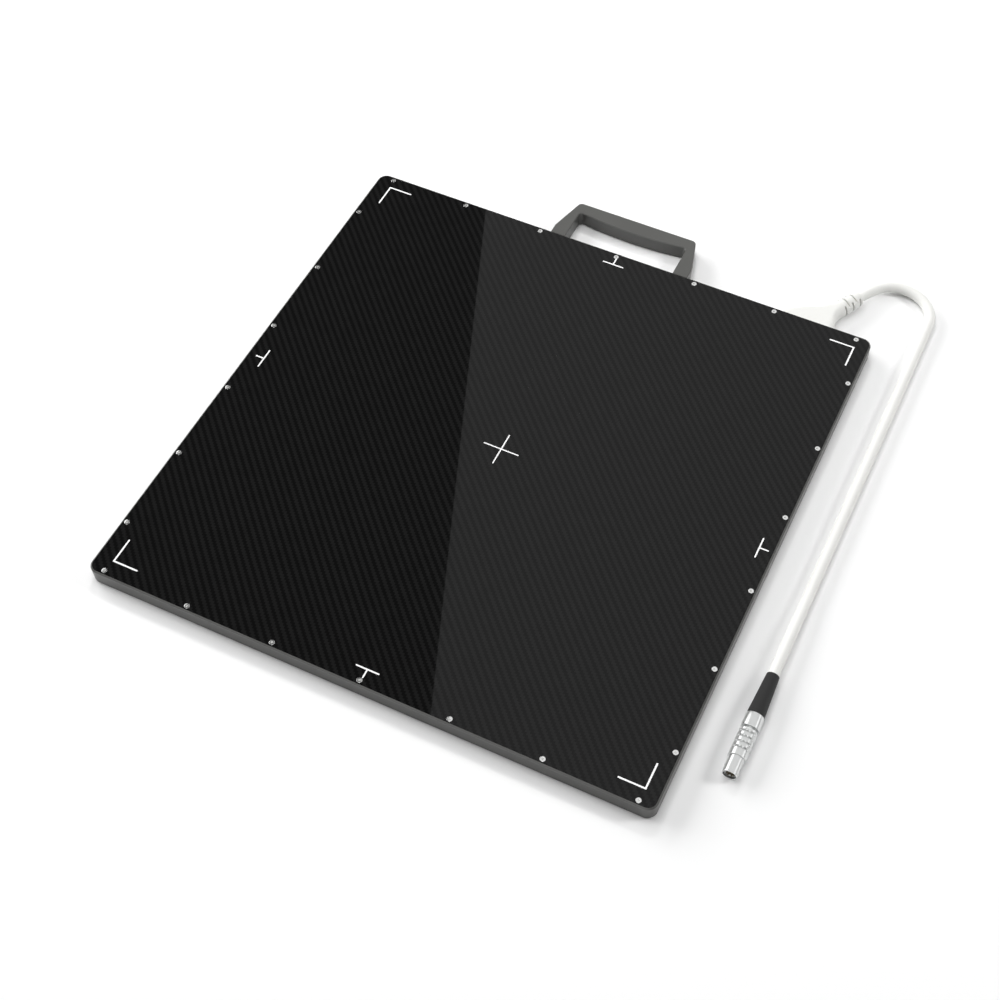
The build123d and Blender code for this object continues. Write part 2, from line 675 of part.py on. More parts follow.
def ribbon_cables():
    """Straps that join the undersides of the boards: main to readout, gate and power."""
    rx, ry, readout_width, readout_depth = BOARDS["readout_board"]
    gx, gy, gate_width, gate_depth = BOARDS["gate_board"]
    mx, my, main_width, main_depth = BOARDS["main_board"]
    px, py, power_width, power_depth = BOARDS["power_board"]
    left, front = mx - main_width / 2, my - main_depth / 2
    spans = [setback + w / 2 for setback, w in zip(RIBBON_SETBACKS, RIBBON_WIDTHS)]
    lows = [setback - w / 2 for setback, w in zip(RIBBON_SETBACKS, RIBBON_WIDTHS)]
    readout = (ry + readout_depth / 2 - RIBBON_LAP, front + RIBBON_LAP)
    gate = (gx + gate_width / 2 - RIBBON_LAP, left + RIBBON_LAP)
    power = (px + power_width / 2 - RIBBON_LAP, left + RIBBON_LAP)
    return [
        ribbon((left + lows[0], left + spans[0]), readout),
        ribbon(gate, (front + lows[1], front + spans[1])),
        ribbon(power, (front + lows[2], front + spans[2])),
    ]


def cable_socket():
    """The socket at the edge of the main board that the harness ends in."""
    width, depth, height = SOCKET
    middle = SOCKET_END_Y - depth / 2
    return slab(width, depth, SOCKET_LOW, SOCKET_LOW + height, 0, (BLOCK_X, middle))


def cable_harness():
    """The cable's cores inside the housing, from the wall to the socket."""
    start = HALF - WALL
    return along((BLOCK_X, start, AXIS_Z), (0, -1, 0), HARNESS_DIA / 2, start - SOCKET_END_Y)


def relief_axis():
    """The strain relief's direction in plan."""
    turn = math.radians(NECK_HEADING)
    return Vector(math.cos(turn), math.sin(turn), 0)


def relief_plane(distance):
    """A plane across the strain relief, its Y up."""
    axis = relief_axis()
    origin = Vector(BLOCK_X + NECK[0], HALF + NECK[1], AXIS_Z) + axis * distance
    return Plane(origin=origin, x_dir=(-axis.Y, axis.X, 0), z_dir=axis)


def block_section(left, right, height, corner):
    """An upright rounded rectangle between two plan points."""
    base = Vector(BLOCK_X, HALF, AXIS_Z)
    left, right = base + Vector(*left), base + Vector(*right)
    across = left - right
    middle = (left + right) / 2
    plane = Plane(origin=middle, x_dir=across, z_dir=(across.Y, -across.X, 0))
    return plane * RectangleRounded(across.length, height, corner)


def relief_slots():
    """Pairs of slots, left and right, then above and below, all along the strain relief."""
    slots = []
    for i in range(SLOT_COUNT):
        plane = relief_plane(SLOT_FIRST + i * SLOT_STEP)
        for turn in (0, 180) if i % 2 == 0 else (90, 270):
            cut = Pos(SLOT_FLOOR + NECK_DIA / 2, 0, 0) * Box(NECK_DIA, 2 * NECK_DIA, SLOT_WIDTH)
            slots.append(plane.location * Rot(0, 0, turn) * cut)
    return slots


def cable_overmould():
    """The moulded block on the rear wall, which narrows into the slotted strain relief."""
    side = NECK_DIA - 2 * NECK_INSET
    neck = relief_plane(NECK_BACK) * RectangleRounded(side, side, side / 2 - NECK_INSET)
    block = loft([block_section(*s) for s in BLOCK_SECTIONS] + [neck], ruled=True)
    length = RELIEF_END - NECK_BACK
    lip = RELIEF_LIP
    big, small = NECK_DIA / 2, RELIEF_END_DIA / 2
    outline = Polyline(
        (0, 0), (big, 0), (small, length - lip), (small - lip, length), (0, length), close=True
    )
    relief = revolve(make_face(Plane.XZ * outline), Axis.Z)
    relief = relief_plane(NECK_BACK).location * relief
    body = block + relief
    body -= relief_slots()
    body -= [thread_hole(x, SCREW_DIA, BLOCK_SCREW_BITE) for x in block_screw_xs()]
    return body + along((BLOCK_X, HALF, AXIS_Z), (0, -1, 0), SPIGOT_DIA / 2, WALL)


def arc_radii(points):
    """Each turn's arc takes the same share of its shorter run."""
    vectors = [Vector(*p) for p in points]
    radii = []
    for before, here, after in zip(vectors, vectors[1:], vectors[2:]):
        first, second = here - before, after - here
        half_turn = math.radians(first.get_angle(second)) / 2
        shorter = min(first.length, second.length)
        radii.append(TURN_SHARE * shorter / math.tan(half_turn))
    return radii


def cable():
    """The free cable, a round tube on straight runs joined by arcs."""
    first = [relief_plane(RELIEF_END + run).origin for run in (0, CABLE_FIRST_RUN)]
    turns = [(HALF + x, HALF + y, z) for x, y, z in CABLE_TURNS]
    route = [tuple(point) for point in first] + turns + [(PLUG_X, BOOT_END_Y, PLUG_Z)]
    radii = arc_radii(route)
    path = FilletPolyline(*route, radius=radii)
    start = Plane(origin=path @ 0, z_dir=path % 0)
    tube = sweep(start * Circle(CABLE_DIA / 2), path=path)
    expected = math.pi * CABLE_DIA**2 / 4 * path.length
    print("cable length", round(path.length, 1), "volume share", round(tube.volume / expected, 5))
    print("cable radii", [round(r, 1) for r in radii])
    return tube


def plug_boot():
    """The tapered bend relief, with a short straight skirt at the nut."""
    small, large = BOOT_SMALL_DIA / 2, BOOT_LARGE_DIA / 2
    profile = [
        (0, BOOT_END_Y),
        (small - BOOT_LIP, BOOT_END_Y),
        (small, BOOT_END_Y - BOOT_LIP),
        (large, NUT_Y + BOOT_SKIRT),
        (large, NUT_Y),
        (0, NUT_Y),
    ]
    return turned(profile, PLUG_X, PLUG_Z)


def collet_nut():
    """The plain rear collar, with the threaded stub that enters the latch sleeve."""
    radius, edge = NUT_DIA / 2, NUT_CHAMFER
    stub = SLEEVE_BORE / 2 - THREAD_GAP
    profile = [
        (0, NUT_Y),
        (radius - edge, NUT_Y),
        (radius, NUT_Y - edge),
        (radius, NUT_FRONT_Y + edge),
        (radius - edge, NUT_FRONT_Y),
        (stub, NUT_FRONT_Y),
        (stub, NUT_FRONT_Y - NUT_STUB),
        (0, NUT_FRONT_Y - NUT_STUB),
    ]
    return turned(profile, PLUG_X, PLUG_Z)


def side_box(low_r, high_r, near, far, width, side):
    """A block on one side of the plug, between two distances from the nose tip."""
    x = PLUG_X + side * (low_r + high_r) / 2
    y = TIP_Y + (near + far) / 2
    return Pos(x, y, PLUG_Z) * Box(high_r - low_r, far - near, width)


def latch_sleeve():
    """The tube that stays with the cable. It is slotted on both sides for the fingers."""
    outer, bore = SLEEVE_DIA / 2, SLEEVE_BORE / 2
    end = TIP_Y + SLEEVE_SETBACK
    profile = [(bore, NUT_FRONT_Y), (outer, NUT_FRONT_Y), (outer, end), (bore, end)]
    tube = turned(profile, PLUG_X, PLUG_Z)
    width = FINGER_WIDTH + 2 * FINGER_SLOT_GAP
    root = FINGER_ROOT + FINGER_SLOT_GAP
    return tube - [side_box(3, outer + 1, 0, root, width, side) for side in (-1, 1)]


def contact_insert():
    """The insulator: full bore behind the fingers, narrower beside them."""
    full, narrow = SLEEVE_BORE / 2 - THREAD_GAP, INSERT_DIA / 2
    rear, step, face = NUT_FRONT_Y - NUT_STUB, TIP_Y + FINGER_ROOT + 1, TIP_Y + INSERT_SETBACK
    profile = [(0, rear), (full, rear), (full, step), (narrow, step), (narrow, face), (0, face)]
    return turned(profile, PLUG_X, PLUG_Z)


def contact_pins():
    """One pin in the middle and the others on a circle, standing on the insert's face."""
    face = TIP_Y + INSERT_SETBACK
    others = PIN_COUNT - 1
    turns = [2 * math.pi * i / others for i in range(others)]
    places = [(0.0, 0.0)] + [
        (PIN_CIRCLE / 2 * math.cos(t), PIN_CIRCLE / 2 * math.sin(t)) for t in turns
    ]
    return [
        stud((PLUG_X + x, face, PLUG_Z + z), (0, -1, 0), PIN_DIA / 2, PIN_LENGTH)
        for x, z in places
    ]


def shell_profile():
    """The release shell's half section, with a vee groove for each ring of the grip."""
    grip, nose, bore = SHELL_DIA / 2, NOSE_DIA / 2, SHELL_BORE / 2
    edge = SHELL_CHAMFER
    profile = [(bore, SHELL_REAR_Y), (grip - edge, SHELL_REAR_Y), (grip, SHELL_REAR_Y - edge)]
    for i in range(GRIP_RINGS):
        y = SHELL_REAR_Y - GRIP_RING_FIRST - i * GRIP_RING_STEP
        half = GROOVE_WIDTH / 2
        profile += [(grip, y + half), (grip - GROOVE_DEPTH, y), (grip, y - half)]
    profile += [
        (grip, NOSE_Y + edge),
        (grip - edge, NOSE_Y),
        (nose, NOSE_Y),
        (nose, TIP_Y + NOSE_CHAMFER),
        (nose - NOSE_CHAMFER, TIP_Y),
        (bore, TIP_Y),
    ]
    return profile


def release_shell():
    """The sliding outer shell: a grip with vee grooves, and a nose with two windows."""
    body = turned(shell_profile(), PLUG_X, PLUG_Z)
    bore, nose = SHELL_BORE / 2, NOSE_DIA / 2
    window = (bore - 1, nose + 1, WINDOW_FRONT, WINDOW_END, TOOTH_WIDTH + 2 * WINDOW_SIDE)
    return body - [side_box(*window, side) for side in (-1, 1)]


def latch_finger(side):
    """A springy arm in the sleeve's slot, with a tooth that stands out of the nose."""
    outer = SHELL_BORE / 2 - FINGER_GAP
    inner = outer - FINGER_T
    root, tip = TIP_Y + FINGER_ROOT, TIP_Y + FINGER_TIP
    arm = turned([(inner, root), (outer, root), (outer, tip), (inner, tip)], PLUG_X, PLUG_Z)
    arm &= side_box(0, outer + 1, 0, FINGER_ROOT + 1, FINGER_WIDTH, side)
    front, rear = TIP_Y + TOOTH_FRONT, TIP_Y + TOOTH_FRONT + TOOTH_LENGTH
    top = NOSE_DIA / 2 + TOOTH_PROUD
    base = outer - 0.2
    ramp_end = front + TOOTH_RAMP
    outline = Polyline((base, rear), (top, rear), (top, ramp_end), (base, front), close=True)
    tooth = extrude(make_face(outline), TOOTH_WIDTH / 2, both=True)
    turn = Rot(0, 180, 0) if side < 0 else Rot(0, 0, 0)
    return arm + Pos(PLUG_X, 0, PLUG_Z) * turn * tooth


NODES = {
    "front_cover": front_cover,
    "front_seal": front_seal,
    "cover_screws": cover_screws,
    "housing_frame": housing_frame,
    "rear_seal": rear_seal,
    "rear_cover": rear_cover,
    "rear_cover_screws": rear_cover_screws,
    "handle": handle,
    "handle_screws": handle_screws,
    "cushion_sheet": cushion_sheet,
    "scintillator": scintillator,
    "tft_glass": tft_glass,
    "shield_sheet": shield_sheet,
    "support_plate": support_plate,
    "plate_supports": plate_supports,
    "edge_cushions": edge_cushions,
    "readout_flexes": readout_flexes,
    "gate_flexes": gate_flexes,
    "readout_board": lambda: board("readout_board"),
    "gate_board": lambda: board("gate_board"),
    "main_board": lambda: board("main_board"),
    "power_board": lambda: board("power_board"),
    "board_pads": board_pads,
    "board_screws": board_screws,
    "board_chips": board_chips,
    "shield_can": shield_can,
    "heat_pad": heat_pad,
    "ribbon_cables": ribbon_cables,
    "cable_socket": cable_socket,
    "cable_harness": cable_harness,
    "cable_overmould": cable_overmould,
    "overmould_screws": overmould_screws,
    "cable": cable,
    "plug_boot": plug_boot,
    "collet_nut": collet_nut,
    "latch_sleeve": latch_sleeve,
    "contact_insert": contact_insert,
    "contact_pins": contact_pins,
    "release_shell": release_shell,
    "latch_finger_left": lambda: latch_finger(-1),
    "latch_finger_right": lambda: latch_finger(1),
}

if __name__ == "__main__":
    os.makedirs("parts", exist_ok=True)
    for name, make in NODES.items():
        made = make()
        if isinstance(made, list):
            made = Compound(children=made)
        export_step(made, f"parts/{name}.step")
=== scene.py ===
"""Looks of a wired flat panel x-ray detector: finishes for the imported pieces, and finer surfaces
for the marks, screws, cable block, cable and plug. Sizes are in millimetres unless a name or a
comment says otherwise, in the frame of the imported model, and become metres when a mesh is made."""

import math

import bmesh
import bpy
import numpy as np
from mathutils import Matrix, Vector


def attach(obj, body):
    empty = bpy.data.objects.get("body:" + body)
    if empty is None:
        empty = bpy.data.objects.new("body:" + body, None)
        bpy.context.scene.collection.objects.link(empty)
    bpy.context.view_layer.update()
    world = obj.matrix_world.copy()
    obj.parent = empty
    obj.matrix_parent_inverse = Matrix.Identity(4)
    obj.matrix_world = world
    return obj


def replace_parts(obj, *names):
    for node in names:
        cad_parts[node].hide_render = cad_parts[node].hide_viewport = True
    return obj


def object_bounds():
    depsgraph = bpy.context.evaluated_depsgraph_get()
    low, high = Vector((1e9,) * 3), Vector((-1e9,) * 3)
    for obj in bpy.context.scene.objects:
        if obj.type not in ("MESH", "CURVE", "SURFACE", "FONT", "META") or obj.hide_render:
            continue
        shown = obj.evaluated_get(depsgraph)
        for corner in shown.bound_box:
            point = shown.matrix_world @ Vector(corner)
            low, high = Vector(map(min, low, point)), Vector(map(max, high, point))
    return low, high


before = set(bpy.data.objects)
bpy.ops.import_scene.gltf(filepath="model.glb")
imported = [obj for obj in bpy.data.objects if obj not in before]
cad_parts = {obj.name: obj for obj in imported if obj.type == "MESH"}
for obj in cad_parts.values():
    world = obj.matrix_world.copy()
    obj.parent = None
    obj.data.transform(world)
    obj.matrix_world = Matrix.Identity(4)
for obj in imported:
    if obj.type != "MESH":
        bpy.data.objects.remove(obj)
cad_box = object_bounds()

MM = 0.001
TAU = 2 * math.pi
HALF = round(-cad_box[0][0] / MM, 3)  # middle of the panel to each of its sides
TOP = round(cad_box[1][2] / MM, 3)  # underside to the image face

# Plug, from the cable's end to the tip of its nose
PLUG_X, PLUG_Z = HALF + 34.9, 7.0
BOOT_LENGTH, NUT_LENGTH, SHELL_GAP = 35.9, 11.2, 1.7
GRIP_LENGTH, NOSE_LENGTH = 23.1, 13.7
BOOT_END_Y = HALF - 322.8
NUT_Y = BOOT_END_Y - BOOT_LENGTH
NUT_FRONT_Y = NUT_Y - NUT_LENGTH
SHELL_REAR_Y = NUT_FRONT_Y - SHELL_GAP
NOSE_Y = SHELL_REAR_Y - GRIP_LENGTH
TIP_Y = NOSE_Y - NOSE_LENGTH


# Meshes


def make_object(name, verts, faces, material, sharp=35.0):
    """A mesh object from points in millimetres, smooth but for edges sharper than an angle."""
    mesh = bpy.data.meshes.new(name)
    mesh.from_pydata((np.asarray(verts) * MM).tolist(), [], faces)
    work = bmesh.new()
    work.from_mesh(mesh)
    bmesh.ops.recalc_face_normals(work, faces=work.faces)
    work.to_mesh(mesh)
    work.free()
    mesh.polygons.foreach_set("use_smooth", np.ones(len(mesh.polygons), bool))
    mesh.set_sharp_from_angle(angle=math.radians(sharp))
    mesh.materials.append(material)
    made = bpy.data.objects.new(name, mesh)
    bpy.context.scene.collection.objects.link(made)
    return made


def quads(rows, cols, start=0, keep=None):
    """Faces of a grid whose columns go round: a cell joins its row and column to the next of
    each. keep is a mask of the cells that exist."""
    i, j = np.meshgrid(np.arange(rows - 1), np.arange(cols), indexing="ij")
    after = (j + 1) % cols
    cells = np.stack([i * cols + j, i * cols + after, (i + 1) * cols + after, (i + 1) * cols + j], -1)
    cells = cells.reshape(-1, 4) if keep is None else cells[keep]
    return (cells + start).tolist()


def closed_rings(grid):
    """Points and faces of a stack of rings, rows by columns, with a face over each end."""
    rows, cols = grid.shape[:2]
    first = list(range(cols))
    last = [k + (rows - 1) * cols for k in first]
    return grid.reshape(-1, 3), quads(rows, cols) + [first[::-1], last]


def joined(parts):
    """Several (points, faces) in one, with the faces' numbers moved on."""
    points, faces, start = [], [], 0
    for p, f in parts:
        points.append(p)
        faces += [[k + start for k in face] for face in f]
        start += len(p)
    return np.concatenate(points), faces


def turns(count, first=0.0):
    """Angles of equal steps round a whole turn."""
    return first + TAU * np.arange(count) / count


def about_y(radius, y, angles, x=PLUG_X, z=PLUG_Z):
    """Rings about a line along Y. Radius is rows by columns: its share along X is the cosine of
    the angle, and its share along Z the sine."""
    y = np.broadcast_to(np.asarray(y)[:, None], radius.shape)
    return np.stack([x + radius * np.cos(angles), y, z + radius * np.sin(angles)], -1)


def rounded_line(points, radius, steps=4):
    """A profile whose inner corners are replaced by short curves of about that radius. A curve
    goes from a to b, with weights (1-t)^2 for a, 2t(1-t) for the corner and t^2 for b, and takes
    less than half of the straight run on either side."""
    points = np.asarray(points, float)
    out = [points[0]]
    for before, here, after in zip(points, points[1:], points[2:]):
        back, ahead = before - here, after - here
        cut = min(radius, np.linalg.norm(back) / 2.2, np.linalg.norm(ahead) / 2.2)
        a = here + back / np.linalg.norm(back) * cut
        b = here + ahead / np.linalg.norm(ahead) * cut
        t = np.linspace(0, 1, steps)[:, None]
        out.extend((1 - t) ** 2 * a + 2 * t * (1 - t) * here + t * t * b)
    out.append(points[-1])
    return np.array(out)


# Node materials


class Nodes:
    """A short way to lay out one material's nodes. Numbers and sockets are both taken."""

    def __init__(self, material):
        material.use_nodes = True
        self.tree = material.node_tree
        self.tree.nodes.clear()
        self.out = self.tree.nodes.new("ShaderNodeOutputMaterial")
        self.place = self.node("ShaderNodeTexCoord").outputs["Object"]

    def node(self, kind, **settings):
        made = self.tree.nodes.new(kind)
        for key, value in settings.items():
            setattr(made, key, value)
        return made

    def feed(self, socket, value):
        """Link a socket, or set its own value, where three numbers are an opaque colour."""
        if isinstance(value, bpy.types.NodeSocket):
            self.tree.links.new(value, socket)
        elif isinstance(value, (tuple, list)) and len(value) == 3 and socket.type == "RGBA":
            socket.default_value = (*value, 1.0)
        else:
            socket.default_value = value

    def math(self, operation, *values):
        made = self.node("ShaderNodeMath", operation=operation)
        for socket, value in zip(made.inputs, values):
            self.feed(socket, value)
        return made.outputs[0]

    def mix(self, share, a, b):
        """Colour a where the share is 0, and b where it is 1."""
        made = self.node("ShaderNodeMix", data_type="RGBA")
        self.feed(made.inputs["Factor"], share)
        self.feed(made.inputs[6], a)
        self.feed(made.inputs[7], b)
        return made.outputs[2]

    def span(self, value, low, high, from_low=0.0, from_high=1.0):
        """The value, with from_low to from_high drawn out to low to high."""
        made = self.node("ShaderNodeMapRange")
        for socket, part in zip(made.inputs, (value, from_low, from_high, low, high)):
            self.feed(socket, part)
        return made.outputs[0]

    def plan(self):
        """Object coordinates x and y, in metres."""
        made = self.node("ShaderNodeSeparateXYZ")
        self.feed(made.inputs[0], self.place)
        return made.outputs[0], made.outputs[1]

    def noise(self, size_mm, detail):
        """Noise whose features are about that many millimetres wide."""
        scaled = self.node("ShaderNodeVectorMath", operation="MULTIPLY")
        self.feed(scaled.inputs[0], self.place)
        scaled.inputs[1].default_value = [1 / MM / size_mm] * 3
        made = self.node("ShaderNodeTexNoise")
        self.feed(made.inputs["Vector"], scaled.outputs[0])
        made.inputs["Scale"].default_value = 1.0
        made.inputs["Detail"].default_value = detail
        return made.outputs["Fac"]

    def bump(self, height, distance_mm, strength):
        made = self.node("ShaderNodeBump")
        made.inputs["Strength"].default_value = strength
        made.inputs["Distance"].default_value = distance_mm * MM
        self.feed(made.inputs["Height"], height)
        return made.outputs[0]

    def surface(self, **inputs):
        made = self.node("ShaderNodeBsdfPrincipled")
        for key, value in inputs.items():
            self.feed(made.inputs[key.replace("_", " ")], value)
        self.feed(self.out.inputs[0], made.outputs[0])


def packed_material(name):
    """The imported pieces' material of that name, or a new one."""
    return bpy.data.materials.get(name) or bpy.data.materials.new(name)


SLOW_MM = 38.0  # width of the slow changes of colour
ROUGH_SPREAD = 0.12  # roughness goes up and down by this share with the grain


def shade(name, colour, rough, metallic=0.0, grain=0.4, depth=0.01, vary=0.06, coat=0.0, **more):
    """A finish with slow changes of colour, and a fine grain in its height and roughness. grain
    is the grain's width and depth its height, vary is the share by which the colour goes up and
    down, and more are further inputs of the surface."""
    material = packed_material(name)
    n = Nodes(material)
    slow = n.noise(SLOW_MM, 2.0)
    fine = n.noise(grain, 2.0)
    dark = tuple(c * (1 - vary) for c in colour)
    light = tuple(min(1.0, c * (1 + vary)) for c in colour)
    n.surface(
        Base_Color=n.mix(n.span(slow, 0.0, 1.0, 0.3, 0.7), dark, light),
        Roughness=n.span(fine, rough * (1 - ROUGH_SPREAD), min(1.0, rough * (1 + ROUGH_SPREAD))),
        Metallic=metallic,
        Normal=n.bump(fine, depth, 0.5),
        Coat_Weight=coat,
        **more,
    )
    return material


# Carbon cover: dark and light greys of the tows, which run both ways under a clear gloss coat. The
# weft's greys are lighter than the warp's: a painted sheen of the tows, not a colour of their own
TOW, CLOUD_MM, CROWN_HEIGHT = 1.91, 9.0, 0.05
WARP_SHEEN_GREYS, WEFT_SHEEN_GREYS = (0.0016, 0.0032), (0.0056, 0.0094)
SIDE_ROUGH, CROWN_ROUGH = 0.6, 0.45
COAT_ROUGH, COAT_IOR = 0.02, 1.315


def carbon_cover():
    """Black carbon fibre under a clear gloss coat. The column and row of a place are its x and y
    over the width of a tow. Where the whole numbers in the two add up to 0 or 1, counted in
    fours, the warp is on top, and where they add up to 2 or 3 the weft is. So a tow passes over
    two and under two, one step further in each row, which draws the diagonal lines of a twill.
    A tow's height across its width is half a wave of a sine. Where the weft is on top the colour is
    lighter: a painted sheen, since the fibre itself is black."""
    n = Nodes(packed_material("carbon_cover"))
    column, row = [n.math("DIVIDE", place, TOW * MM) for place in n.plan()]
    total = n.math("ADD", n.math("FLOOR", column), n.math("FLOOR", row))
    over = n.math("LESS_THAN", n.math("FLOORED_MODULO", total, 4.0), 1.5)
    under = n.math("SUBTRACT", 1.0, over)
    crowns = [
        n.math("MULTIPLY", on_top, n.math("SINE", n.math("MULTIPLY", n.math("FRACT", tow), math.pi)))
        for on_top, tow in ((over, column), (under, row))
    ]
    crown = n.math("ADD", *crowns)
    cloud = n.noise(CLOUD_MM, 3.0)
    # Painted sheen: the weft's greys are lighter than the warp's. Each pair's dark and light follow
    # the cloud
    warp, weft = [
        n.mix(cloud, (dark, dark, dark), (light, light, light))
        for dark, light in (WARP_SHEEN_GREYS, WEFT_SHEEN_GREYS)
    ]
    n.surface(
        Base_Color=n.mix(over, weft, warp),
        Roughness=n.span(crown, SIDE_ROUGH, CROWN_ROUGH),
        Specular_IOR_Level=0.0,
        Normal=n.bump(crown, CROWN_HEIGHT, 0.25),
        Coat_Weight=1.0,
        Coat_Roughness=COAT_ROUGH,
        Coat_IOR=COAT_IOR,
    )


carbon_cover()
shade("grey_paint", (0.076, 0.076, 0.072), 0.34, grain=0.5, depth=0.02, vary=0.04)
shade("rear_paint", (0.13, 0.13, 0.125), 0.5, grain=0.6, depth=0.03, vary=0.05)
screw_metal = shade("bright_screw", (0.84, 0.84, 0.83), 0.22, 1.0, grain=0.3, depth=0.004, vary=0.01)
shade("black_seal", (0.02, 0.02, 0.02), 0.8, grain=0.4, depth=0.02, vary=0.2)
shade("foam", (0.05, 0.05, 0.055), 0.95, grain=0.25, depth=0.08, vary=0.2)
shade("phosphor", (0.8, 0.8, 0.72), 0.7, grain=0.12, depth=0.01)
shade("array_glass", (0.55, 0.65, 0.62), 0.08, grain=0.15, depth=0.001, Transmission_Weight=0.4)
shade("shield_metal", (0.25, 0.25, 0.27), 0.55, 0.9, grain=1.5, depth=0.02, vary=0.15)
shade("plate_metal", (0.6, 0.6, 0.6), 0.35, 1.0, grain=0.3, depth=0.006)
shade("support_metal", (0.7, 0.52, 0.24), 0.32, 1.0, grain=0.2, depth=0.004)
shade("silicone", (0.45, 0.45, 0.43), 0.6, grain=0.7, depth=0.01)
shade("flex_film", (0.45, 0.2, 0.03), 0.3, grain=0.4, depth=0.004, vary=0.15)
shade("board_green", (0.02, 0.12, 0.05), 0.35, grain=0.5, depth=0.01, vary=0.2, coat=0.3)
shade("chip_black", (0.02, 0.02, 0.02), 0.6, grain=0.15, depth=0.008, vary=0.2)
shade("can_metal", (0.65, 0.65, 0.65), 0.3, 1.0, grain=0.6, depth=0.006)
shade("harness_jacket", (0.1, 0.1, 0.1), 0.55, grain=0.3, depth=0.02)
white_mould = shade("white_mould", (0.75, 0.75, 0.725), 0.5, grain=0.5, depth=0.012, vary=0.012)
white_jacket = shade("white_jacket", (0.77, 0.77, 0.745), 0.55, grain=0.6, depth=0.01, vary=0.012)
boot_rubber = shade("boot_rubber", (0.014, 0.014, 0.014), 0.7, grain=0.35, depth=0.02, vary=0.1)
chrome = shade("satin_chrome", (0.74, 0.75, 0.745), 0.3, 1.0, grain=0.25, depth=0.002, vary=0.01)
shade("spring_metal", (0.6, 0.6, 0.6), 0.3, 1.0, grain=0.3, depth=0.003)
shade("insulator", (0.13, 0.13, 0.13), 0.55, grain=0.4, depth=0.01)
# Gold darkened far below gold's own colour: painted shade for the pins deep inside the plug's nose
shade("gold_pin", (0.2, 0.155, 0.085), 0.5, 1.0, grain=0.3, depth=0.002)
ink = shade("mark_ink", (0.92, 0.92, 0.92), 0.4, grain=0.3, depth=0.002, vary=0.01)


# Alignment marks

MARK_TOP, MARK_FOOT = TOP + 0.02, TOP - 0.1
AREA = 432.4  # side of the square image area that the marks stand round
AREA_X, AREA_Y = 1.4, 0.4  # its middle
CROSS_X = 1.1
CORNER_ARM, CORNER_LINE = 21.0, 1.3
BAR_ARM, STEM, TEE_LINE = 9.6, 7.6, 1.15
CROSS_ARM, CROSS_LINE = 15.2, 1.0
ROUND_END_POINTS = 9


def mark(x, y, arms, line):
    """A flat mark with up to four arms at right angles, as a closed prism. An arm is a straight
    strip that ends in a half circle as wide as the line. arms gives each arm's length, east,
    north, west and south."""
    half = line / 2
    outline = []
    for k, arm in enumerate(arms):
        out = np.array([math.cos(k * TAU / 4), math.sin(k * TAU / 4)])
        side = np.array([-out[1], out[0]])
        outline.append([out * half - side * half])
        if arm:
            t = np.linspace(-math.pi / 2, math.pi / 2, ROUND_END_POINTS)[:, None]
            outline.append(out * (arm - half) + half * (np.cos(t) * out + np.sin(t) * side))
    points = np.concatenate(outline) + np.array([x, y])
    prism = [np.column_stack([points, np.full(len(points), z)]) for z in (MARK_FOOT, MARK_TOP)]
    return closed_rings(np.stack(prism))


def alignment_marks():
    """Corner marks and edge marks round the image area, and a cross in its middle."""
    a, b, c = CORNER_ARM, BAR_ARM, CROSS_ARM
    half = AREA / 2
    left, right = AREA_X - half, AREA_X + half
    front, rear = AREA_Y - half, AREA_Y + half
    marks = [
        mark(right, rear, (0, 0, a, a), CORNER_LINE),
        mark(left, rear, (a, 0, 0, a), CORNER_LINE),
        mark(left, front, (a, a, 0, 0), CORNER_LINE),
        mark(right, front, (0, a, a, 0), CORNER_LINE),
        mark(CROSS_X, rear, (b, STEM, b, 0), TEE_LINE),
        mark(CROSS_X, front, (b, 0, b, STEM), TEE_LINE),
        mark(left, AREA_Y, (0, b, STEM, b), TEE_LINE),
        mark(right, AREA_Y, (STEM, b, 0, b), TEE_LINE),
        mark(CROSS_X, AREA_Y, (c, c, c, c), CROSS_LINE),
    ]
    piece = make_object("alignment_marks", *joined(marks), ink)
    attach(piece, "panel")


alignment_marks()


# Screws of both covers

HEAD_R, FLAT_R, SHANK_R, HEX_R = 2.37, 2.0, 1.22, 0.9
HEX_DEPTH, CONE_DEPTH, SCREW_LENGTH = 1.5, 1.15, 4.1
HEAD_BEVEL, POINT_BEVEL = 0.1, 0.3
SCREW_SIDES = 24
SCREW_INSET, PITCH = 4.3, 72.2
ROW_SCREWS, COLUMN_SCREWS, COLUMN_SHIFT = 7, 6, -1.6
REAR_HEADS_Z = 0.05  # the rear screws' heads stay above the underside


def screw(facing):
    """A countersunk screw about its own axis, head at height zero, with a six-sided recess. Each
    row is a radius and a height, from the recess's floor over the head to the point. A hexagon's
    radius is its inner radius over the cosine of the angle from the middle of the nearest side."""
    angles = turns(SCREW_SIDES)
    sixth = TAU / 6
    hexagon = HEX_R * math.cos(sixth / 2) / np.cos(np.mod(angles, sixth) - sixth / 2)
    rows = [
        (0.55 * hexagon, -HEX_DEPTH),
        (0.97 * hexagon, -HEX_DEPTH + 0.02),
        (hexagon, -0.03),
        (hexagon + HEAD_BEVEL, 0.03),
        (FLAT_R - HEAD_BEVEL, 0.04),
        (FLAT_R, 0.02),
        (FLAT_R + HEAD_BEVEL, -0.05),
        (HEAD_R, -0.3),
        (2.1, -0.4),
        (SHANK_R + 0.1, -CONE_DEPTH + 0.15),
        (SHANK_R, -CONE_DEPTH),
        (SHANK_R, -SCREW_LENGTH + POINT_BEVEL),
        (SHANK_R - POINT_BEVEL, -SCREW_LENGTH),
    ]
    radius = np.array([np.broadcast_to(r, angles.shape) for r, z in rows])
    height = facing * np.array([z for r, z in rows])[:, None] * np.ones_like(radius)
    return np.stack([radius * np.cos(angles), radius * np.sin(angles), height], -1)


